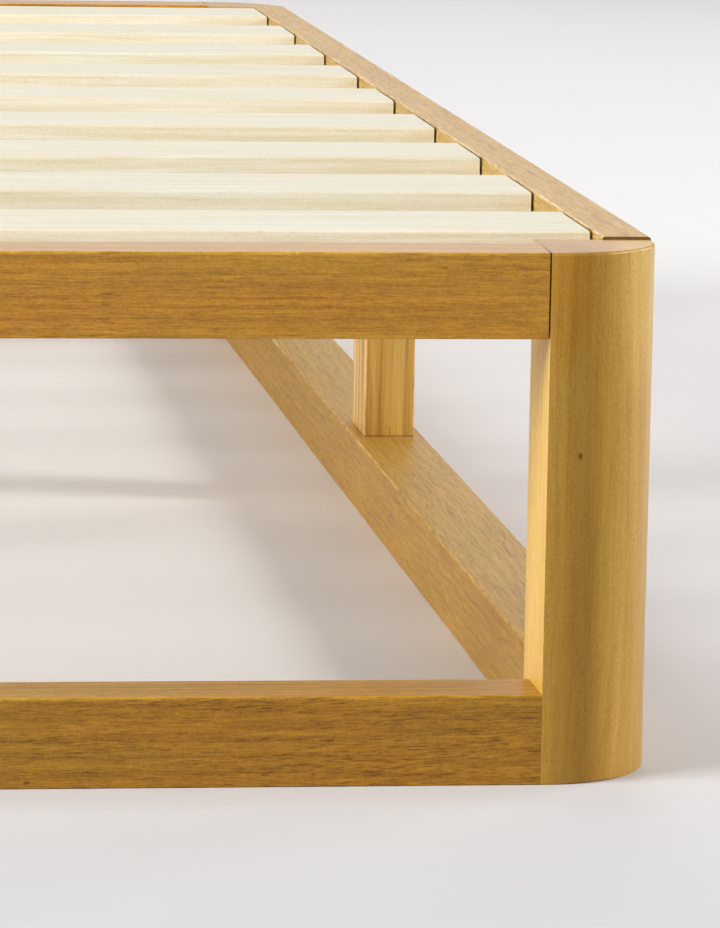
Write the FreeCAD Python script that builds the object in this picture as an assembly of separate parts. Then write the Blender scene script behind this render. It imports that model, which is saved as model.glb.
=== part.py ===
"""A low toddler floor bed: two end frames joined by two side frames, with loose slats laid in a rabbet.

Millimetres, +Z up. The origin is on the floor under the middle of the bed, +Y runs along its length.
The front end is at -Y. "left" is -X and "right" is +X, as seen from the front end.
"""
import FreeCAD, Part
import math
import os

Vector = FreeCAD.Vector

# ---- driving dimensions ----------------------------------------------------------------------
BED_LENGTH = 1360.0
BED_WIDTH = 740.0
BED_HEIGHT = 200.0          # to the top of the side frames and the slats
END_FRAME_DROP = 1.0        # how much lower the posts and the end rails stop

POST_WIDTH = 45.0           # across the bed
POST_DEPTH = 46.0           # along the bed
CORNER_RADIUS = 42.0        # the big round on the outer upright edge of a post

TOP_RAIL_HEIGHT = 33.0
BOTTOM_RAIL_HEIGHT = 34.0
END_RAIL_THICKNESS = 33.0
SIDE_RAIL_WIDTH = 35.0
LIP_WIDTH = 18.5            # what is left of the side top rail beside its rabbet

STILE_WIDTH = 48.0          # along the bed
STILE_THICKNESS = 24.5      # across the bed

SLAT_COUNT = 9
SLAT_WIDTH = 68.0
SLAT_THICKNESS = 15.0
SLAT_END_GAP = 1.1          # between a slat's end and the lip
FIRST_SLAT_INSET = 69.0     # from the outer face of an end frame to the nearest slat

EDGE_EASE = 1.2             # rounding of the edges that a hand meets
BACK_BEVEL = 1.0            # bevel round the face of a post that the side rails meet
RABBET_EASE = 0.8           # rounding of the rabbet's edges
FOOT_BEVEL = 0.8            # bevel round the foot of a post
SLAT_TOP_EASE = 1.5
SLAT_BOTTOM_BEVEL = 1.0
SLAT_END_BEVEL = 0.8        # along the top of a slat's end

TOP_SEAM = 0.7              # the shoulder of an end top rail stands off its post by this, in front
BOTTOM_SEAM = 0.12          # and that of a bottom rail by this
CLOSED_SEAM = 0.1           # both close to this at the back
KNOCK_DOWN_GAP = 0.8        # between a side rail's end and its post
FIT_CLEARANCE = 0.1         # round a tenon, dowel, stud, cam or screw, and at its end

RAIL_TENON_LENGTH = 24.0
RAIL_TENON_THICKNESS = 12.0
RAIL_TENON_HEIGHT = 20.0
STILE_TENON_LENGTH = 13.0
STILE_TENON_THICKNESS = 10.0
STILE_TENON_WIDTH = 30.0
DOWEL_RADIUS = 4.0
DOWEL_LENGTH = 36.0
DOWEL_BEVEL = 1.0
DOWEL_SETBACK = 11.0        # from the outer face of the side rail to the dowel's axis

CAM_RADIUS = 6.0
CAM_DEPTH = 12.0
CAM_SETBACK = 24.0          # from the side rail's end to the cam's axis
CAM_CROSS_LENGTH = 7.0
CAM_CROSS_WIDTH = 1.4
CAM_CROSS_DEPTH = 2.0
STUD_DEPTH_IN_RAIL = 6.0    # from the side rail's inner face to the stud's axis
STUD_THREAD_RADIUS = 3.0
STUD_THREAD_LENGTH = 11.0
STUD_SHANK_RADIUS = 2.5
STUD_NECK_RADIUS = 1.6
STUD_HEAD_RADIUS = 3.0
STUD_HEAD_LENGTH = 2.6

SCREW_LENGTH = 28.0
SCREW_SHANK_RADIUS = 1.75
SCREW_HEAD_RADIUS = 3.5
SCREW_HEAD_HEIGHT = 2.6
SCREW_TIP_LENGTH = 3.0
SCREW_SINK = 0.3            # how far the head lies inside the underside of the rail
SCREW_TIP_RADIUS = 0.3

PIN_SIDES = 8               # flats round a dowel, stud or screw, and round its hole
CAM_SIDES = 12              # flats round a cam and its pocket

# ---- places worked out from them -------------------------------------------------------------
HALF_LENGTH = BED_LENGTH / 2
HALF_WIDTH = BED_WIDTH / 2
POST_INNER_X = HALF_WIDTH - POST_WIDTH
POST_BACK_Y = HALF_LENGTH - POST_DEPTH
END_FRAME_HEIGHT = BED_HEIGHT - END_FRAME_DROP
TOP_RAIL_Z = BED_HEIGHT - TOP_RAIL_HEIGHT
LEDGE_Z = BED_HEIGHT - SLAT_THICKNESS
LIP_X = HALF_WIDTH - LIP_WIDTH
SIDE_INNER_X = HALF_WIDTH - SIDE_RAIL_WIDTH
SIDE_END_Y = POST_BACK_Y - KNOCK_DOWN_GAP
DOWEL_Y = (POST_BACK_Y + SIDE_END_Y) / 2
SIDE_MIDDLE_X = HALF_WIDTH - SIDE_RAIL_WIDTH / 2
END_RAIL_MIDDLE_Y = HALF_LENGTH - END_RAIL_THICKNESS / 2
SLAT_HALF_LENGTH = LIP_X - SLAT_END_GAP
SLAT_PITCH = (BED_LENGTH - 2 * FIRST_SLAT_INSET - SLAT_WIDTH) / (SLAT_COUNT - 1)
SCREW_X = (SIDE_INNER_X + SLAT_HALF_LENGTH) / 2
STUD_X = SIDE_INNER_X + STUD_DEPTH_IN_RAIL
DOWEL_X = HALF_WIDTH - DOWEL_SETBACK

# Each side rail, with the height of its cam and of its dowel.
TOP_STUD_Z = (TOP_RAIL_Z + LEDGE_Z) / 2
TOP_DOWEL_Z = TOP_RAIL_Z + TOP_RAIL_HEIGHT / 2
BOTTOM_STUD_Z = BOTTOM_RAIL_HEIGHT / 2
SIDE_RAIL_JOINTS = ((BOTTOM_STUD_Z, BOTTOM_STUD_Z), (TOP_STUD_Z, TOP_DOWEL_Z))
END_RAIL_RANGES = {"top": (TOP_RAIL_Z, END_FRAME_HEIGHT), "bottom": (0, BOTTOM_RAIL_HEIGHT)}
END_RAIL_SEAMS = {"top": TOP_SEAM, "bottom": BOTTOM_SEAM}

SIDES = {"left": -1, "right": 1}
ENDS = {"front": -1, "rear": 1}
SLAT_YS = [(i - (SLAT_COUNT - 1) / 2) * SLAT_PITCH for i in range(SLAT_COUNT)]

X_AXIS = Vector(1, 0, 0)
Y_AXIS = Vector(0, 1, 0)
Z_AXIS = Vector(0, 0, 1)
ORIGIN = Vector(0, 0, 0)


# ---- small tools -----------------------------------------------------------------------------
def block(x_range, y_range, z_range):
    """A box between two values on each axis."""
    size = [high - low for low, high in (x_range, y_range, z_range)]
    return Part.makeBox(*size, Vector(x_range[0], y_range[0], z_range[0]))


def placed(shape, side, end):
    """Mirror a shape made for the right rear corner to the corner that side and end name."""
    if side < 0:
        shape = shape.mirror(ORIGIN, X_AXIS)
    if end < 0:
        shape = shape.mirror(ORIGIN, Y_AXIS)
    return shape


def edges_where(shape, keep):
    """The straight or curved edges whose bounding box passes a test."""
    return [edge for edge in shape.Edges if keep(edge.BoundBox)]


def along(axis):
    """A test for edges that run along one axis."""
    others = [name for name in "XYZ" if name != axis]

    def keep(box):
        lengths = {"X": box.XLength, "Y": box.YLength, "Z": box.ZLength}
        return lengths[axis] > 0.01 and all(lengths[name] < 0.01 for name in others)

    return keep


def near(value, target):
    return abs(value - target) < 0.01


def eased_bar(bar, axis, radius):
    """Round the long edges of a straight bar."""
    return bar.makeFillet(radius, edges_where(bar, along(axis)))


def turned(profile, start, direction, sides=PIN_SIDES):
    """A many-sided turned pin from (distance along its axis, radius) points."""
    angles = [2 * math.pi * i / sides for i in range(sides)]

    def ring(distance, radius):
        points = [Vector(radius * math.cos(a), radius * math.sin(a), distance) for a in angles]
        return Part.makePolygon(points + [points[0]])

    lengths = [Part.makeLoft([ring(*low), ring(*high)], True, True)
               for low, high in zip(profile, profile[1:]) if high[0] > low[0]]
    solid = lengths[0].fuse(lengths[1:]) if len(lengths) > 1 else lengths[0]
    solid.Placement = FreeCAD.Placement(start, FreeCAD.Rotation(Z_AXIS, direction))
    return solid


def bore(radius, depth, start, direction, sides=PIN_SIDES):
    """A hole with its clearance, for a pin of this radius that goes this deep."""
    wide = radius + FIT_CLEARANCE
    return turned(((0, wide), (depth + FIT_CLEARANCE, wide)), start, direction, sides)


# ---- joints, all described for the right rear corner -----------------------------------------
def end_rail_tenons(z_range, clearance=0.0):
    """The bar that shows at both ends of a rear end rail as its tenons."""
    end_x = POST_INNER_X + RAIL_TENON_LENGTH + clearance
    half_thickness = RAIL_TENON_THICKNESS / 2 + clearance
    half_height = RAIL_TENON_HEIGHT / 2 + clearance
    z = sum(z_range) / 2
    return block((-end_x, end_x), (END_RAIL_MIDDLE_Y - half_thickness, END_RAIL_MIDDLE_Y + half_thickness),
                 (z - half_height, z + half_height))


def stile_tenons(clearance=0.0):
    """The bar that shows at both ends of a right stile as its tenons."""
    half_thickness = STILE_TENON_THICKNESS / 2 + clearance
    half_width = STILE_TENON_WIDTH / 2 + clearance
    length = STILE_TENON_LENGTH + clearance
    return block((SIDE_MIDDLE_X - half_thickness, SIDE_MIDDLE_X + half_thickness), (-half_width, half_width),
                 (BOTTOM_RAIL_HEIGHT - length, TOP_RAIL_Z + length))


def dowel(z):
    """The dowel that locates a side rail on its post, with bevelled ends."""
    half = DOWEL_LENGTH / 2
    profile = ((-half, DOWEL_RADIUS - DOWEL_BEVEL), (DOWEL_BEVEL - half, DOWEL_RADIUS),
               (half - DOWEL_BEVEL, DOWEL_RADIUS), (half, DOWEL_RADIUS - DOWEL_BEVEL))
    return turned(profile, Vector(DOWEL_X, DOWEL_Y, z), Y_AXIS)


def dowel_bore(z):
    """The hole for a dowel, in both of the pieces that it joins."""
    start = Vector(DOWEL_X, DOWEL_Y - DOWEL_LENGTH / 2 - FIT_CLEARANCE, z)
    return bore(DOWEL_RADIUS, DOWEL_LENGTH + FIT_CLEARANCE, start, Y_AXIS)


def cam_stud(z):
    """A stud from the bottom of its thread in the post to its head in the cam."""
    head_start = KNOCK_DOWN_GAP + CAM_SETBACK
    head_end = head_start + STUD_HEAD_LENGTH
    neck_start = head_start - CAM_RADIUS - 2 * FIT_CLEARANCE
    profile = ((-STUD_THREAD_LENGTH, STUD_THREAD_RADIUS), (0, STUD_THREAD_RADIUS),
               (0, STUD_SHANK_RADIUS), (neck_start, STUD_SHANK_RADIUS),
               (neck_start, STUD_NECK_RADIUS), (head_start, STUD_NECK_RADIUS),
               (head_start, STUD_HEAD_RADIUS), (head_end, STUD_HEAD_RADIUS))
    return turned(profile, Vector(STUD_X, POST_BACK_Y, z), -Y_AXIS)


def cam_centre(z):
    """Where a cam's axis meets the inner face of the side rail."""
    return Vector(SIDE_INNER_X, SIDE_END_Y - CAM_SETBACK, z)


def cam_lock(z):
    """A round cam: a channel for the stud's head and neck, and a cross recess for the driver."""
    centre = cam_centre(z)
    body = turned(((0, CAM_RADIUS), (CAM_DEPTH, CAM_RADIUS)), centre, X_AXIS, CAM_SIDES)
    head_room = STUD_HEAD_RADIUS + 2 * FIT_CLEARANCE
    neck_room = STUD_NECK_RADIUS + 2 * FIT_CLEARANCE
    head_end_y = centre.y - STUD_HEAD_LENGTH - 2 * FIT_CLEARANCE
    cuts = [block((STUD_X - head_room, STUD_X + head_room), (head_end_y, centre.y + 2 * FIT_CLEARANCE),
                  (z - head_room, z + head_room)),
            block((STUD_X - neck_room, STUD_X + neck_room), (centre.y, centre.y + CAM_RADIUS),
                  (z - neck_room, z + neck_room))]
    long_half, short_half = CAM_CROSS_LENGTH / 2, CAM_CROSS_WIDTH / 2
    for half_y, half_z in ((long_half, short_half), (short_half, long_half)):
        cuts.append(block((SIDE_INNER_X, SIDE_INNER_X + CAM_CROSS_DEPTH),
                          (centre.y - half_y, centre.y + half_y), (z - half_z, z + half_z)))
    return body.cut(cuts)


def slat_screw(side, y):
    """A countersunk screw driven up through the ledge into a slat."""
    start = Vector(side * SCREW_X, y, TOP_RAIL_Z + SCREW_SINK)
    profile = ((0, SCREW_HEAD_RADIUS), (SCREW_HEAD_HEIGHT, SCREW_SHANK_RADIUS),
               (SCREW_LENGTH - SCREW_TIP_LENGTH, SCREW_SHANK_RADIUS), (SCREW_LENGTH, SCREW_TIP_RADIUS))
    return turned(profile, start, Z_AXIS)


def screw_hole(side, y):
    """The countersunk hole for a slat screw, through the ledge and up into the slat."""
    mouth = SCREW_HEAD_RADIUS + FIT_CLEARANCE
    shank = SCREW_SHANK_RADIUS + FIT_CLEARANCE
    profile = ((0, mouth), (SCREW_SINK, mouth), (SCREW_SINK + SCREW_HEAD_HEIGHT, shank),
               (SCREW_SINK + SCREW_LENGTH + FIT_CLEARANCE, shank))
    return turned(profile, Vector(side * SCREW_X, y, TOP_RAIL_Z), Z_AXIS)


# ---- pieces ----------------------------------------------------------------------------------
def post():
    """The right rear post: square on the inside, one big round on the outer corner."""
    inner_x, outer_x = POST_INNER_X, HALF_WIDTH
    inner_y, outer_y = POST_BACK_Y, HALF_LENGTH
    bend = CORNER_RADIUS * (1 - 0.5 ** 0.5)
    corners = [Vector(outer_x, outer_y - CORNER_RADIUS, 0), Vector(outer_x, inner_y, 0),
               Vector(inner_x, inner_y, 0), Vector(inner_x, outer_y, 0),
               Vector(outer_x - CORNER_RADIUS, outer_y, 0)]
    middle_of_round = Vector(outer_x - bend, outer_y - bend, 0)
    outline = [Part.LineSegment(a, b).toShape() for a, b in zip(corners, corners[1:])]
    outline.append(Part.Arc(corners[-1], middle_of_round, corners[0]).toShape())
    solid = Part.Face(Part.Wire(outline)).extrude(Vector(0, 0, END_FRAME_HEIGHT))

    def outer_rim(level):
        """The edges along the outside of the post, at its top or its foot."""
        def keep(box):
            return near(box.ZMin, level) and near(box.ZMax, level) and box.YMax > inner_y + 0.01 \
                and box.XMax > inner_x + 0.01
        return keep

    def round_back_face(box):
        return near(box.YMax, inner_y) and box.ZMax > 0.01

    solid = solid.makeFillet(EDGE_EASE, edges_where(solid, outer_rim(END_FRAME_HEIGHT)))
    solid = solid.makeChamfer(BACK_BEVEL, edges_where(solid, round_back_face))
    solid = solid.makeChamfer(FOOT_BEVEL, edges_where(solid, outer_rim(0)))
    cuts = [end_rail_tenons(z_range, FIT_CLEARANCE) for z_range in END_RAIL_RANGES.values()]
    for stud_z, dowel_z in SIDE_RAIL_JOINTS:
        cuts.append(dowel_bore(dowel_z))
        cuts.append(bore(STUD_THREAD_RADIUS, STUD_THREAD_LENGTH, Vector(STUD_X, POST_BACK_Y, stud_z), Y_AXIS))
    return solid.cut(cuts)


def end_rail(level):
    """A rear rail with a tenon at each end. Its shoulders close on the posts towards the back."""
    z_range = END_RAIL_RANGES[level]
    outer_x = POST_INNER_X - END_RAIL_SEAMS[level]
    inner_x = POST_INNER_X - CLOSED_SEAM
    plan = [(-outer_x, HALF_LENGTH), (outer_x, HALF_LENGTH),
            (inner_x, HALF_LENGTH - END_RAIL_THICKNESS), (-inner_x, HALF_LENGTH - END_RAIL_THICKNESS)]
    points = [Vector(x, y, z_range[0]) for x, y in plan]
    bar = Part.Face(Part.makePolygon(points + [points[0]])).extrude(Vector(0, 0, z_range[1] - z_range[0]))
    bar = eased_bar(bar, "X", EDGE_EASE)
    return bar.fuse(end_rail_tenons(z_range)).removeSplitter()


def side_rail_cuts(stud_z, dowel_z):
    """What is drilled in both ends of a right side rail, and the mortise for the stile."""
    rail_end = Vector(STUD_X, SIDE_END_Y, stud_z)
    drilled = [dowel_bore(dowel_z), bore(STUD_HEAD_RADIUS, CAM_SETBACK, rail_end, -Y_AXIS),
               bore(CAM_RADIUS, CAM_DEPTH, cam_centre(stud_z), X_AXIS, CAM_SIDES)]
    return drilled + [placed(hole, 1, -1) for hole in drilled] + [stile_tenons(FIT_CLEARANCE)]


def side_bottom_rail():
    bar = block((SIDE_INNER_X, HALF_WIDTH), (-SIDE_END_Y, SIDE_END_Y), (0, BOTTOM_RAIL_HEIGHT))
    bar = eased_bar(bar, "Y", EDGE_EASE)
    return bar.cut(side_rail_cuts(*SIDE_RAIL_JOINTS[0]))


def side_top_rail():
    """The rabbeted rail: a lip outside, and a ledge inside that carries the slats."""
    section = [(SIDE_INNER_X, TOP_RAIL_Z), (HALF_WIDTH, TOP_RAIL_Z), (HALF_WIDTH, BED_HEIGHT),
               (LIP_X, BED_HEIGHT), (LIP_X, LEDGE_Z), (SIDE_INNER_X, LEDGE_Z)]
    points = [Vector(x, -SIDE_END_Y, z) for x, z in section]
    bar = Part.Face(Part.makePolygon(points + [points[0]])).extrude(Vector(0, 2 * SIDE_END_Y, 0))

    def long_edge(x, z):
        return edges_where(bar, lambda box: along("Y")(box) and near(box.XMin, x) and near(box.ZMin, z))

    outer = long_edge(HALF_WIDTH, BED_HEIGHT) + long_edge(HALF_WIDTH, TOP_RAIL_Z)
    outer += long_edge(SIDE_INNER_X, TOP_RAIL_Z)
    bar = bar.makeFillet(EDGE_EASE, outer)
    rabbet = long_edge(LIP_X, BED_HEIGHT) + long_edge(SIDE_INNER_X, LEDGE_Z)
    bar = bar.makeFillet(RABBET_EASE, rabbet)
    return bar.cut(side_rail_cuts(*SIDE_RAIL_JOINTS[1]) + [screw_hole(1, y) for y in SLAT_YS])


def stile():
    """The upright between the two rails of a side frame."""
    half_thickness = STILE_THICKNESS / 2
    bar = block((SIDE_MIDDLE_X - half_thickness, SIDE_MIDDLE_X + half_thickness),
                (-STILE_WIDTH / 2, STILE_WIDTH / 2), (BOTTOM_RAIL_HEIGHT, TOP_RAIL_Z))
    bar = eased_bar(bar, "Z", EDGE_EASE)
    return bar.fuse(stile_tenons()).removeSplitter()


def slat(y):
    """A slat with soft upper edges, bevelled top ends and a screw hole near each end."""
    half_width = SLAT_WIDTH / 2
    board = block((-SLAT_HALF_LENGTH, SLAT_HALF_LENGTH), (-half_width, half_width), (LEDGE_Z, BED_HEIGHT))

    def edges_at(axis, level):
        return edges_where(board, lambda box: along(axis)(box) and near(box.ZMax, level))

    board = board.makeChamfer(SLAT_END_BEVEL, edges_at("Y", BED_HEIGHT))
    board = board.makeFillet(SLAT_TOP_EASE, edges_at("X", BED_HEIGHT))
    board = board.makeChamfer(SLAT_BOTTOM_BEVEL, edges_at("X", LEDGE_Z))
    board.translate(Vector(0, y, 0))
    return board.cut([screw_hole(side, y) for side in SIDES.values()])


# ---- the whole bed ---------------------------------------------------------------------------
def build():
    """Every piece by its name."""
    pieces = {}
    for end_name, end in ENDS.items():
        for side_name, side in SIDES.items():
            pieces[f"{end_name}_{side_name}_post"] = placed(post(), side, end)
        pieces[f"{end_name}_top_rail"] = placed(end_rail("top"), 1, end)
        pieces[f"{end_name}_bottom_rail"] = placed(end_rail("bottom"), 1, end)
    for side_name, side in SIDES.items():
        pieces[f"{side_name}_side_top_rail"] = placed(side_top_rail(), side, 1)
        pieces[f"{side_name}_side_bottom_rail"] = placed(side_bottom_rail(), side, 1)
        pieces[f"{side_name}_stile"] = placed(stile(), side, 1)
    for number, y in enumerate(SLAT_YS, 1):
        pieces[f"slat_{number}"] = slat(y)

    def at_every_joint(make, heights):
        return Part.makeCompound([placed(make(z), side, end) for side in SIDES.values()
                                  for end in ENDS.values() for z in heights])

    stud_heights, dowel_heights = zip(*SIDE_RAIL_JOINTS)
    pieces["side_rail_dowels"] = at_every_joint(dowel, dowel_heights)
    pieces["cam_studs"] = at_every_joint(cam_stud, stud_heights)
    pieces["cam_locks"] = at_every_joint(cam_lock, stud_heights)
    pieces["slat_screws"] = Part.makeCompound(
        [slat_screw(side, y) for side in SIDES.values() for y in SLAT_YS])
    return pieces


def main():
    os.makedirs("parts", exist_ok=True)
    for name, shape in build().items():
        shape.exportStep(f"parts/{name}.step")
        print(name, "solids", len(shape.Solids), "valid", shape.isValid(), "volume", round(shape.Volume))


main()
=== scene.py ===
"""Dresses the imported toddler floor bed: stained and bare woods, zinc fittings, soft studio light, camera.

Blender 4.5, metres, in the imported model's frame: +X right, +Y towards the rear end, +Z up.
The figure of the wood is laid out in millimetres.
"""

import math

import bpy
from mathutils import Matrix, Vector


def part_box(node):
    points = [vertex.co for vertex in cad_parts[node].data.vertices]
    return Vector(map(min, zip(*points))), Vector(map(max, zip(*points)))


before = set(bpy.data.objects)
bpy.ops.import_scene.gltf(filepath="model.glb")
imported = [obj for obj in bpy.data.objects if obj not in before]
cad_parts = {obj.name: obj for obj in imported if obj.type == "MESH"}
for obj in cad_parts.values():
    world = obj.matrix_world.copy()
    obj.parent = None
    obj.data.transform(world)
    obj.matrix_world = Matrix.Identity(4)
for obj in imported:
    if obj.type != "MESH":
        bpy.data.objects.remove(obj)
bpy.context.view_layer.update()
MM = 0.001


def srgb(red, green, blue):
    """A colour written as 0-255 screen values, as the linear colour that Blender's nodes use."""
    def linear(value):
        value /= 255
        return value / 12.92 if value <= 0.04045 else ((value + 0.055) / 1.055) ** 2.4
    return (linear(red), linear(green), linear(blue))


# ---- camera, as the photograph's edges give it ------------------------------------------------
LENS = 210.53                   # millimetres
SENSOR = 36                     # millimetres, along the frame's long side
CAMERA_PLACE = Vector((0.00791, -2.63294, 0.42006))
CAMERA_YAW = 0.12603            # radians, to the right
CAMERA_PITCH = 0.15081          # radians, down
CAMERA_ROLL = -0.01793

# ---- light: how brightly the studio glows all round, at its rear wall, and where it is seen ----
ROOM_GLOW = 0.1
WALL_GLOW = 0.42
SEEN_GLOW = 0.8
WALL_SIDE = (0.3, 0.8)          # how far a direction points to the rear where the wall's glow sets in
WALL_TOP = (0.12, 0.35)         # and how far up where it ends
GLOW_COLOUR = srgb(250, 250, 252)

LIGHT_DISTANCE = 4.5
# Each square softbox: azimuth in degrees from +X towards +Y, elevation in degrees, metres across, watts.
LIGHTS = {
    "key_right": (-13, 24, 0.7, 86),
    "rim_right": (25, 20, 1.5, 48),
    "soft_left": (194, 16, 1.7, 150),
    "front_left": (212, 28, 1.8, 128),
    "front_low": (-88, 13, 2.0, 38),
    "back": (82, 28, 2.8, 32),
    "high_back": (90, 60, 2.5, 38),
}

# ---- floor: its colours, painted shade in front and painted light towards the rear, and where along Y each gives way to the next ---
FLOOR_REACH = 12.0
FLOOR_FRONT_PAINTED_SHADE = srgb(216, 218, 220)
FLOOR_MIDDLE = srgb(237, 234, 235)
FLOOR_REAR_PAINTED_LIGHT = srgb(247, 244, 244)
FRONT_TO_MIDDLE = (-1.0, -0.5)
MIDDLE_TO_REAR = (-0.4, 0.6)
MOTTLE_TINT = (0.97, 0.97, 0.97)
MOTTLES_PER_METRE = 3.0
FLOOR_ROUGHNESS = 0.7
FLOOR_SPECULAR = 0.2

# ---- the figure of wood, in millimetres: each pattern's length along the grain, width across it --
DRIFT = (300.0, 70.0)           # how the growth rings bend along the board
WOBBLE = (40.0, 12.0)
DRIFT_AMOUNT = 12.0             # times the amount of the wobble
PORE_BANDS = (90.0, 6.0)
SPECKLE = (1.3, 0.8)
FIBRE_WIDTH = 0.5
PORE_WIDTH = 0.45
STREAK_STRETCH = 40.0           # a streak's length, in widths
CLOUD_STRETCH = 7.0
LATE_WOOD_START = (0.1, 0.85)   # in parts of a ring's width
LATE_WOOD_END = (0.86, 1.0)
LATE_WOOD_MEAN = 0.35
PORE_EDGE = 0.93                # how high the pores' noise has to be, where there are no bands
PORE_RISE = 0.12
LEAST_BAND = 0.25
STREAK_RELIEF, FIBRE_RELIEF, PORE_RELIEF = 0.4, 0.6, -0.5
RELIEF_ROUGHNESS = 0.1
BUMP_STRENGTH = 0.6

# ---- what each kind of wood looks like: its colours, painted light on its faces, how much of each pattern, and its finish ----
# These tints multiply the colour of the faces that look in one direction: painted light and painted sheen,
# where a top or a side looks brighter because of how light falls on it.
TOP, FRONT, REAR, LEFT = (0, 0, 1), (0, -1, 0), (0, 1, 0), (-1, 0, 0)

STAINED = {
    "pale": (0.54, 0.263, 0.017), "deep": (0.27, 0.113, 0.004), "pore": (0.74, 0.68, 0.54),
    "warm": (1.03, 0.95, 0.84), "cool": (0.97, 1.04, 1.10), "wear": (1.30, 1.45, 2.60),
    "Ring width": 4.2, "Ring strength": 0.16, "Streak width": 2.4, "Streak strength": 1.2,
    "Fibre length": 12.0, "Fibre strength": 1.5, "Speckle strength": 0.8, "Cloud width": 20.0,
    "Cloud strength": 2.0, "Pore density": 0.33, "Pore length": 6.0, "Waviness": 1.3,
    "pith_distance": 70.0, "roughness": 0.29, "specular": 0.28, "bump": 0.03, "end_stain": 0.92,
    # painted light and painted sheen on the tops
    "painted_side_light": ((TOP, (1.26, 1.27, 1.10)),),
}
DARK_RAIL = {
    **STAINED,
    "pale": (0.46, 0.220, 0.013), "deep": (0.20, 0.085, 0.003), "pore": (0.62, 0.56, 0.44),
    "Streak strength": 1.3, "Fibre length": 9.0, "Pore density": 0.38,
    # painted light and painted sheen on the tops
    "roughness": 0.36, "specular": 0.26, "painted_side_light": ((TOP, (1.46, 1.55, 1.15)),),
}
POST = {
    **STAINED,
    "pale": (0.58, 0.325, 0.050), "deep": (0.34, 0.172, 0.015),
    "Ring strength": 0.05, "Streak width": 3.4, "Streak strength": 0.9, "Fibre length": 18.0,
    "Fibre strength": 0.7, "Cloud width": 14.0, "Cloud strength": 1.0, "Pore density": 0.15,
    # painted light on the tops
    "specular": 0.26, "bump": 0.02, "painted_side_light": ((TOP, (1.14, 1.08, 0.9)),),
}
STILE = {
    **STAINED,
    "pale": (0.74, 0.43, 0.085), "deep": (0.34, 0.165, 0.018),
    "Streak width": 5.5, "Streak strength": 3.4, "Fibre length": 18.0, "Fibre strength": 0.5,
    "Speckle strength": 0.4, "Pore density": 0.12, "Waviness": 0.4,
}
OPEN_GRAIN = {
    **STAINED,
    "pale": (0.59, 0.340, 0.066), "deep": (0.37, 0.190, 0.024), "pore": (0.70, 0.64, 0.54),
    "Streak strength": 0.8, "Fibre length": 30.0, "Fibre strength": 1.9, "Cloud strength": 1.0,
    "Pore density": 0.42, "Pore length": 18.0,
    "roughness": 0.42, "specular": 0.22, "bump": 0.04, "end_stain": 0.42,
    # painted sheen on the tops
    "painted_side_light": ((TOP, (1.20, 1.26, 1.34)),),
}
DECK_RAIL = {
    **OPEN_GRAIN,
    "pore": (0.62, 0.54, 0.44), "specular": 0.30,
    # painted sheen on the tops, and painted light on the faces that look inwards
    "painted_side_light": ((TOP, (1.24, 1.36, 2.4)), (LEFT, (1.0, 1.2, 2.1))),
}
PINE = {
    "pale": (0.86, 0.83, 0.72), "deep": (0.73, 0.665, 0.47), "pore": (0.84, 0.76, 0.60),
    "warm": (1.02, 0.97, 0.90), "cool": (0.99, 1.02, 1.05), "wear": (1.02, 1.02, 1.03),
    "Ring width": 7.0, "Ring strength": 0.18, "Streak width": 2.2, "Streak strength": 2.4,
    "Fibre length": 9.0, "Fibre strength": 0.6, "Speckle strength": 0.9, "Cloud width": 16.0,
    "Cloud strength": 1.6, "Pore density": 0.2, "Pore length": 5.0, "Waviness": 0.6,
    "pith_distance": 55.0, "roughness": 0.5, "specular": 0.4, "bump": 0.03, "end_stain": 0.9,
    # painted light on the front and rear faces of the slats
    "painted_side_light": ((FRONT, (1.03, 1.02, 0.98)), (REAR, (1.03, 1.02, 0.98))),
}
BEECH = {**PINE, "pale": (0.70, 0.48, 0.27), "deep": (0.50, 0.30, 0.14), "painted_side_light": ()}

# The first row whose word is in a node's name gives its wood, and the axis of its grain.
WOODS = (
    ("slat", PINE, "X"), ("dowels", BEECH, "Y"), ("post", POST, "Z"), ("stile", STILE, "Z"),
    ("side_top", DECK_RAIL, "Y"), ("side_bottom", OPEN_GRAIN, "Y"), ("bottom", DARK_RAIL, "X"),
    ("top", STAINED, "X"),
)
GRAIN_ORDERS = {"X": (0, 1, 2), "Y": (1, 0, 2), "Z": (2, 0, 1)}
SEED_STEP = (731.0, 137.0, 219.0)   # how far apart in the pattern two pieces' timbers lie
TURN_STEP = 2.4                     # radians: how far the pith goes round from one piece to the next

# Painted light on single pieces: faces of theirs that look one way are painted paler, where light falls on them
# more strongly than the lamps give it.
PIECE_PAINTED_LIGHT = {
    # painted light on the post's inner face, and painted light and sheen on its top
    "front_right_post": ((LEFT, (1.50, 1.68, 2.1)), (TOP, (1.14, 1.07, 0.86))),
    # painted light on the stile's front and left faces
    "right_stile": ((FRONT, (1.12, 1.14, 1.30)), (LEFT, (1.30, 1.40, 1.70))),
    # painted light on the first slat's front, which lies in the front rail's shade
    "slat_1": ((FRONT, (1.22, 1.22, 1.20)),),
}
FACE_TURN = (0.5, 0.9)              # how nearly a face looks in the direction, from not at all to fully
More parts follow.
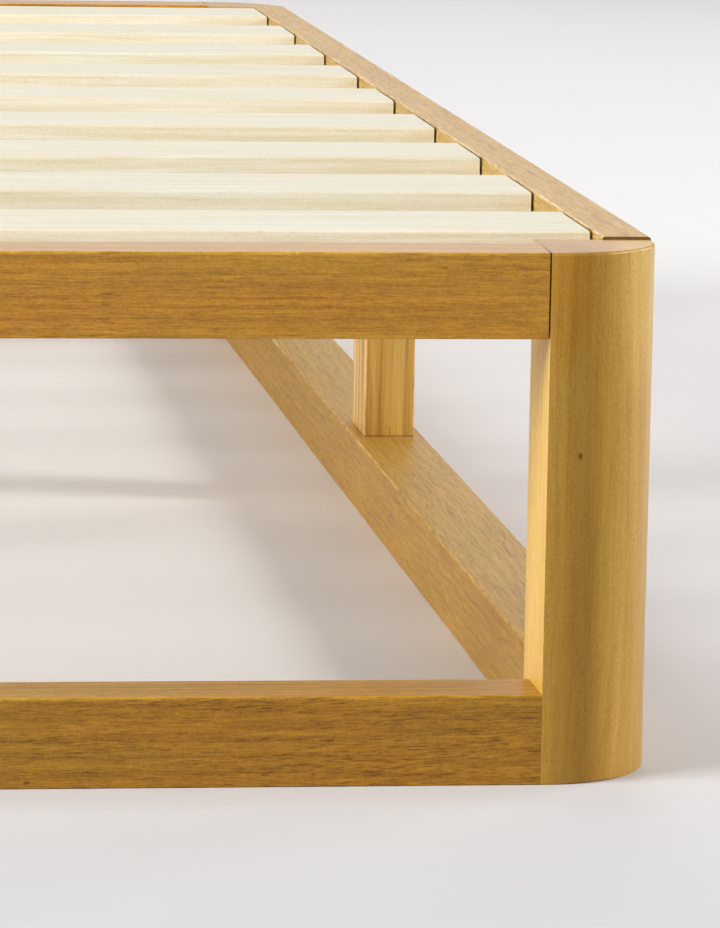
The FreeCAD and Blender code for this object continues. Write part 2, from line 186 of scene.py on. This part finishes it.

# Darker and paler places, real marks and some painted light: centre from the left front bottom corner of the
# piece's box and half-size, both in millimetres, and what the colour is multiplied by.
MARKS_AND_PAINTED_LIGHT = {
    "front_right_post": (
        ((12.4, 0.0, 123.5), (1.0, 4.0, 1.3), (0.35, 0.33, 0.30)),      # a pin knot
        ((12.0, 0.0, 60.0), (11.5, 40.0, 210.0), (0.78, 0.76, 0.70)),   # the dark band
        ((15.0, 0.0, 30.0), (7.0, 40.0, 100.0), (0.86, 0.84, 0.78)),    # darkest low down
        ((7.0, 0.0, 186.0), (9.5, 40.0, 34.0), (0.98, 0.84, 0.46)),     # amber by the seam
        ((38.0, 15.0, 60.0), (13.0, 60.0, 300.0), (1.14, 1.18, 1.50)),  # painted light on the round, where the lamp from the right falls
        ((38.0, 15.0, 200.0), (14.0, 40.0, 55.0), (1.18, 1.28, 1.60)),  # painted highlight, palest at the round's top
        ((0.0, 25.0, 200.0), (1.5, 40.0, 3.0), (0.70, 0.80, 1.50)),     # the edge beside the end rail
    ),
    "right_stile": (
        ((12.25, 0.0, 13.0), (40.0, 60.0, 0.7), (0.50, 0.44, 0.38)),    # the joint's line at its foot
        ((12.45, 0.0, 15.5), (0.35, 6.0, 3.5), (0.60, 0.52, 0.45)),     # a split above it
    ),
    "front_bottom_rail": (
        ((483.0, 0.0, 2.5), (1.5, 3.0, 0.8), (0.45, 0.42, 0.40)),       # a dark spot
    ),
    "front_top_rail": (
        ((511.0, 0.0, 16.5), (3.0, 2.0, 0.35), (0.50, 0.45, 0.40)),     # a short dark streak
        ((580.0, 0.0, 31.5), (0.4, 2.0, 0.8), (1.40, 1.50, 2.00)),      # a pale nick
    ),
}
MARK_EDGE = (0.5, 1.2)              # where a mark starts to fade and where it ends, in half-sizes

# The stain is worn in patches where an edge is rounded, and sinks deeper into end grain.
EDGE_ROUNDING = (0.08, 0.24)        # the product of two of the normal's components
WEAR_PATCHES_PER_MM = 0.09
WEAR_PATCH_EDGE = (0.3, 0.6)
END_GRAIN_TURN = (0.7, 0.95)

# Each fitting's colour and roughness.
METALS = {
    "cam_locks": (srgb(186, 188, 190), 0.45),
    "cam_studs": (srgb(206, 206, 200), 0.28),
    "slat_screws": (srgb(206, 206, 200), 0.28),
}
BLOTCHES_PER_MM = (0.5, 0.5, 0.5)
SCRATCHES_PER_MM = (6.0, 0.4, 0.4)
BLOTCH_SHADE = 0.75
SCRATCH_ROUGHNESS = 0.15
SCRATCH_DEPTH = 0.02                # millimetres
SCRATCH_STRENGTH = 0.3


# ---- materials: helpers ------------------------------------------------------------------------
class Graph:
    """Adds nodes to a node tree. Each input is a number, a colour, a vector or another node's output."""

    def __init__(self, tree):
        self.tree = tree

    def fill(self, socket, value):
        if isinstance(value, bpy.types.NodeSocket):
            self.tree.links.new(value, socket)
        elif value is not None:
            socket.default_value = (*value, 1.0) if socket.type == "RGBA" else value

    def add(self, kind, inputs=None, **settings):
        node = self.tree.nodes.new(kind)
        for name, value in settings.items():
            setattr(node, name, value)
        for name, value in (inputs or {}).items():
            self.fill(node.inputs[name], value)
        return node

    def math(self, operation, a, b=None, c=None):
        return self.add("ShaderNodeMath", {0: a, 1: b, 2: c}, operation=operation).outputs[0]

    def limit(self, value):
        """The value, kept between 0 and 1."""
        return self.math("MINIMUM", self.math("MAXIMUM", value, 0.0), 1.0)

    def sway(self, value, strength, base=0.0, middle=0.5):
        """The base, plus strength times how far the value is from its middle."""
        return self.math("MULTIPLY_ADD", self.math("SUBTRACT", value, middle), strength, base)

    def ramp(self, value, start, end, at_start=0.0, at_end=1.0):
        """A smooth step as the value goes from start to end."""
        inputs = {"Value": value, "From Min": start, "From Max": end, "To Min": at_start, "To Max": at_end}
        return self.add("ShaderNodeMapRange", inputs, interpolation_type="SMOOTHSTEP").outputs["Result"]

    def vector(self, operation, a, b=None):
        node = self.add("ShaderNodeVectorMath", {0: a, 1: b}, operation=operation)
        return node.outputs["Value" if operation in ("DOT_PRODUCT", "LENGTH") else "Vector"]

    def combine(self, x, y, z):
        return self.add("ShaderNodeCombineXYZ", {"X": x, "Y": y, "Z": z}).outputs[0]

    def separate(self, vector):
        return self.add("ShaderNodeSeparateXYZ", {"Vector": vector}).outputs

    def scaled(self, vector, along, across):
        """The vector in units of a length along the grain and a width across it."""
        thin = self.math("DIVIDE", 1.0, across)
        return self.vector("MULTIPLY", vector, self.combine(self.math("DIVIDE", 1.0, along), thin, thin))

    def noise(self, vector, detail=2.0, roughness=0.5):
        """Noise of about 0 to 1, with a wavelength of one unit of its vector."""
        inputs = {"Vector": vector, "Scale": 1.0, "Detail": detail, "Roughness": roughness}
        return self.add("ShaderNodeTexNoise", inputs, normalize=True).outputs["Fac"]

    def mix(self, factor, a, b, blend="MIX"):
        node = self.add("ShaderNodeMix", {0: factor, 6: a, 7: b}, data_type="RGBA", blend_type=blend)
        return node.outputs[2]

    def place(self):
        """Where a point is in the frame, in metres."""
        return self.add("ShaderNodeTexCoord").outputs["Object"]

    def place_mm(self):
        return self.vector("MULTIPLY", self.place(), (1 / MM,) * 3)


def new_material(name):
    """A new material, the graph of its nodes, and its shader."""
    material = bpy.data.materials.new(name)
    material.use_nodes = True
    return material, Graph(material.node_tree), material.node_tree.nodes["Principled BSDF"]


# ---- wood ------------------------------------------------------------------------------------
FIGURE_VECTORS = ("Place", "Seed", "Pith")
FIGURE_AMOUNTS = ("Ring width", "Ring strength", "Streak width", "Streak strength", "Fibre length",
                  "Fibre strength", "Speckle strength", "Cloud width", "Cloud strength", "Pore density",
                  "Pore length", "Waviness")
FIGURE_RESULTS = ("Tone", "Warmth", "Pores", "Height")


def figure_group():
    """The figure of sawn wood. Place is in millimetres, with its first axis along the grain."""
    tree = bpy.data.node_groups.new("sawn_grain", "ShaderNodeTree")
    for names, in_out, kind in ((FIGURE_VECTORS, "INPUT", "NodeSocketVector"),
                                (FIGURE_AMOUNTS, "INPUT", "NodeSocketFloat"),
                                (FIGURE_RESULTS, "OUTPUT", "NodeSocketFloat")):
        for name in names:
            tree.interface.new_socket(name=name, in_out=in_out, socket_type=kind)
    g = Graph(tree)
    given = g.add("NodeGroupInput").outputs
    seeded = g.vector("ADD", given["Place"], given["Seed"])

    # The growth rings bend slowly along the board and are cut by its faces.
    drift = g.noise(g.scaled(seeded, *DRIFT), detail=1.0)
    wobble = g.noise(g.scaled(seeded, *WOBBLE), detail=1.0)
    bend = g.sway(drift, g.math("MULTIPLY", given["Waviness"], DRIFT_AMOUNT), g.sway(wobble, given["Waviness"]))
    _, across_b, across_c = g.separate(g.vector("SUBTRACT", given["Place"], given["Pith"]))
    radius = g.math("ADD", g.vector("LENGTH", g.combine(0.0, across_b, across_c)), bend)
    ring_part = g.math("FRACT", g.math("DIVIDE", radius, given["Ring width"]))
    ring_end = g.ramp(ring_part, *LATE_WOOD_END, 1.0, 0.0)
    late_wood = g.math("MULTIPLY", g.ramp(ring_part, *LATE_WOOD_START), ring_end)

    # Long soft streaks, short fine fibres, the finest speckle, and broad clouds of colour.
    bent = g.vector("ADD", seeded, g.combine(0.0, bend, bend))
    streak_length = g.math("MULTIPLY", given["Streak width"], STREAK_STRETCH)
    streaks = g.noise(g.scaled(bent, streak_length, given["Streak width"]), detail=3.0, roughness=0.6)
    fibres = g.noise(g.scaled(bent, given["Fibre length"], FIBRE_WIDTH), roughness=0.6)
    speckle = g.noise(g.scaled(seeded, *SPECKLE), detail=1.0)
    cloud_length = g.math("MULTIPLY", given["Cloud width"], CLOUD_STRETCH)
    cloud = g.noise(g.scaled(bent, cloud_length, given["Cloud width"]), detail=1.0)

    # Pores are short dark dashes, with more of them in some bands.
    pore_noise = g.noise(g.scaled(bent, given["Pore length"], PORE_WIDTH), detail=0.0)
    bands = g.noise(g.scaled(bent, *PORE_BANDS), detail=1.0)
    often = g.math("MULTIPLY", g.math("ADD", bands, LEAST_BAND), given["Pore density"])
    edge = g.math("SUBTRACT", PORE_EDGE, often)
    pores = g.ramp(pore_noise, edge, g.math("ADD", edge, PORE_RISE))

    tone = g.sway(late_wood, given["Ring strength"], 0.5, middle=LATE_WOOD_MEAN)
    for pattern, strength in ((streaks, "Streak strength"), (fibres, "Fibre strength"),
                              (speckle, "Speckle strength")):
        tone = g.sway(pattern, given[strength], tone)
    height = 0.0
    for pattern, relief in ((streaks, STREAK_RELIEF), (fibres, FIBRE_RELIEF), (pores, PORE_RELIEF)):
        height = g.math("MULTIPLY_ADD", pattern, relief, height)
    warmth = g.sway(cloud, given["Cloud strength"], 0.5)
    results = (g.limit(tone), g.limit(warmth), pores, height)
    g.add("NodeGroupOutput", dict(zip(FIGURE_RESULTS, results)))
    return tree


FIGURE = figure_group()


def figure_of(g, wood, order, number, here, middle):
    """The figure of one piece, cut beside the pith of its own timber. middle is the piece's, in millimetres."""
    parts = g.separate(here)
    _, middle_b, middle_c = (middle[i] for i in order)
    turn, distance = TURN_STEP * number, wood["pith_distance"]
    inputs = {
        "Place": g.combine(*(parts[i] for i in order)),
        "Seed": [step * number for step in SEED_STEP],
        "Pith": (0.0, middle_b + distance * math.cos(turn), middle_c + distance * math.sin(turn)),
        **{amount: wood[amount] for amount in FIGURE_AMOUNTS},
    }
    return g.add("ShaderNodeGroup", inputs, node_tree=FIGURE).outputs


def marks_and_painted_light(g, name, here, corner):
    """Each of the piece's own marks and patches of painted light: how much of it there is, and its tint. corner
    is in metres.
    """
    for offset, half_size, tint in MARKS_AND_PAINTED_LIGHT.get(name, ()):
        centre = tuple(start / MM + step for start, step in zip(corner, offset))
        away = g.vector("LENGTH", g.vector("DIVIDE", g.vector("SUBTRACT", here, centre), half_size))
        yield g.ramp(away, *MARK_EDGE, 1.0, 0.0), tint


def painted_face_light_and_wear(g, name, wood, order, here):
    """Painted light and painted sheen on the faces that look one way, and tints of worn edges and of end grain.
    """
    normal = g.add("ShaderNodeNewGeometry").outputs["Normal"]
    # Painted light: the faces that look one way are made paler.
    for direction, tint in PIECE_PAINTED_LIGHT.get(name, wood["painted_side_light"]):
        yield g.ramp(g.vector("DOT_PRODUCT", normal, direction), *FACE_TURN), tint
    along, across_b, across_c = (g.math("ABSOLUTE", g.separate(normal)[i]) for i in order)
    rounding = g.math("MULTIPLY", across_b, across_c)
    if "post" in name:          # The big round of a post isn't worn, only the edges of its ends.
        rounding = g.math("MULTIPLY", along, g.math("SUBTRACT", 1.0, along))
    patches = g.noise(g.vector("MULTIPLY", here, (WEAR_PATCHES_PER_MM,) * 3))
    yield g.math("MULTIPLY", g.ramp(rounding, *EDGE_ROUNDING), g.ramp(patches, *WEAR_PATCH_EDGE)), wood["wear"]
    yield g.ramp(along, *END_GRAIN_TURN), (wood["end_stain"],) * 3


def wood_material(name, wood, axis, number):
    """Solid wood with its grain along one axis. number picks the timber that a piece is cut from."""
    material, g, shader = new_material(name)
    order = GRAIN_ORDERS[axis]
    here = g.place_mm()
    low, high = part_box(name)
    middle = [(start + end) / 2 / MM for start, end in zip(low, high)]
    figure = figure_of(g, wood, order, number, here, middle)
    colour = g.mix(figure["Tone"], wood["pale"], wood["deep"])
    cast = g.mix(figure["Warmth"], wood["cool"], wood["warm"])
    tints = [(1.0, cast), (figure["Pores"], wood["pore"]), *marks_and_painted_light(g, name, here, low),
             *painted_face_light_and_wear(g, name, wood, order, here)]
    for amount, tint in tints:
        colour = g.mix(amount, colour, tint, blend="MULTIPLY")
    bump = g.add("ShaderNodeBump", {"Height": figure["Height"], "Strength": BUMP_STRENGTH,
                                    "Distance": wood["bump"] * MM})
    g.fill(shader.inputs["Base Color"], colour)
    g.fill(shader.inputs["Roughness"],
           g.math("MULTIPLY_ADD", figure["Height"], RELIEF_ROUGHNESS, wood["roughness"]))
    g.fill(shader.inputs["Normal"], bump.outputs["Normal"])
    shader.inputs["Specular IOR Level"].default_value = wood["specular"]
    return material


# ---- metal -----------------------------------------------------------------------------------
def metal_material(name, colour, roughness):
    """Zinc-plated or cast metal, with faint blotches and scratches."""
    material, g, shader = new_material(name)
    here = g.place_mm()
    blotches = g.noise(g.vector("MULTIPLY", here, BLOTCHES_PER_MM), detail=3.0)
    scratches = g.noise(g.vector("MULTIPLY", here, SCRATCHES_PER_MM))
    dull = tuple(channel * BLOTCH_SHADE for channel in colour)
    bump = g.add("ShaderNodeBump", {"Height": scratches, "Strength": SCRATCH_STRENGTH,
                                    "Distance": SCRATCH_DEPTH * MM})
    g.fill(shader.inputs["Base Color"], g.mix(blotches, colour, dull))
    g.fill(shader.inputs["Roughness"], g.math("MULTIPLY_ADD", scratches, SCRATCH_ROUGHNESS, roughness))
    g.fill(shader.inputs["Normal"], bump.outputs["Normal"])
    shader.inputs["Metallic"].default_value = 1.0
    return material


def dress_nodes():
    """Give every CAD node its own material."""
    for number, (name, node) in enumerate(sorted(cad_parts.items()), 1):
        if name in METALS:
            material = metal_material(name, *METALS[name])
        else:
            wood, axis = next(row[1:] for row in WOODS if row[0] in name)
            material = wood_material(name, wood, axis, number)
        for material_slot in node.material_slots:
            material_slot.material = material


# ---- floor, light and camera -----------------------------------------------------------------
def studio_floor():
    """A pale floor, with painted shade making it a little darker in front of the bed, and painted light making
    it paler towards the rear.
    """
    corners = [(x * FLOOR_REACH, y * FLOOR_REACH, 0) for x, y in ((-1, -1), (1, -1), (1, 1), (-1, 1))]
    mesh = bpy.data.meshes.new("studio_floor")
    mesh.from_pydata(corners, [], [(0, 1, 2, 3)])
    floor = bpy.data.objects.new("studio_floor", mesh)
    bpy.context.scene.collection.objects.link(floor)
    material, g, shader = new_material("studio_floor")
    here = g.place()
    mottle = g.noise(g.vector("MULTIPLY", here, (MOTTLES_PER_METRE,) * 3))
    back = g.separate(here)[1]
    colour = g.mix(g.ramp(back, *FRONT_TO_MIDDLE), FLOOR_FRONT_PAINTED_SHADE, FLOOR_MIDDLE)
    colour = g.mix(g.ramp(back, *MIDDLE_TO_REAR), colour, FLOOR_REAR_PAINTED_LIGHT)
    g.fill(shader.inputs["Base Color"], g.mix(mottle, colour, MOTTLE_TINT, blend="MULTIPLY"))
    shader.inputs["Roughness"].default_value = FLOOR_ROUGHNESS
    shader.inputs["Specular IOR Level"].default_value = FLOOR_SPECULAR
    mesh.materials.append(material)


def studio_world():
    """Faint light from all round, and the glow of a white wall low behind the rear end."""
    world = bpy.data.worlds.new("studio")
    bpy.context.scene.world = world
    world.use_nodes = True
    g = Graph(world.node_tree)
    background = world.node_tree.nodes["Background"]
    direction = g.separate(g.add("ShaderNodeTexCoord").outputs["Generated"])
    wall = g.math("MULTIPLY", g.ramp(direction[1], *WALL_SIDE), g.ramp(direction[2], *WALL_TOP, 1.0, 0.0))
    glow = g.math("MULTIPLY_ADD", wall, WALL_GLOW, ROOM_GLOW)
    seen = g.math("MULTIPLY", g.add("ShaderNodeLightPath").outputs["Is Camera Ray"], SEEN_GLOW)
    g.fill(background.inputs["Color"], GLOW_COLOUR)
    g.fill(background.inputs["Strength"], g.math("MAXIMUM", seen, glow))


def softbox(name, azimuth, elevation, size, power):
    """A square area light that faces the middle of the bed's floor. The camera doesn't see it."""
    light = bpy.data.lights.new(name, "AREA")
    light.size = size
    light.energy = power
    lamp = bpy.data.objects.new(name, light)
    bpy.context.scene.collection.objects.link(lamp)
    turn, lift = math.radians(azimuth), math.radians(elevation)
    away = Vector((math.cos(turn) * math.cos(lift), math.sin(turn) * math.cos(lift), math.sin(lift)))
    lamp.location = away * LIGHT_DISTANCE
    lamp.rotation_euler = away.to_track_quat("Z", "Y").to_euler()
    lamp.visible_camera = False


def camera():
    """The photograph's camera: right, up and back are the camera's own axes."""
    cos_yaw, sin_yaw = math.cos(CAMERA_YAW), math.sin(CAMERA_YAW)
    cos_pitch, sin_pitch = math.cos(CAMERA_PITCH), math.sin(CAMERA_PITCH)
    forward = Vector((sin_yaw * cos_pitch, cos_yaw * cos_pitch, -sin_pitch))
    level = Vector((cos_yaw, -sin_yaw, 0))
    down = forward.cross(level)
    right = math.cos(CAMERA_ROLL) * level + math.sin(CAMERA_ROLL) * down
    up = math.sin(CAMERA_ROLL) * level - math.cos(CAMERA_ROLL) * down
    data = bpy.data.cameras.new("camera")
    data.lens = LENS
    data.sensor_width = SENSOR
    data.sensor_fit = "AUTO"
    made = bpy.data.objects.new("camera", data)
    bpy.context.scene.collection.objects.link(made)
    turned = Matrix((right, up, -forward)).transposed().to_4x4()
    made.matrix_world = Matrix.Translation(CAMERA_PLACE) @ turned
    bpy.context.scene.camera = made


dress_nodes()
studio_floor()
studio_world()
for light_name, light_values in LIGHTS.items():
    softbox(light_name, *light_values)
camera()
bpy.context.scene.view_settings.view_transform = "Standard"
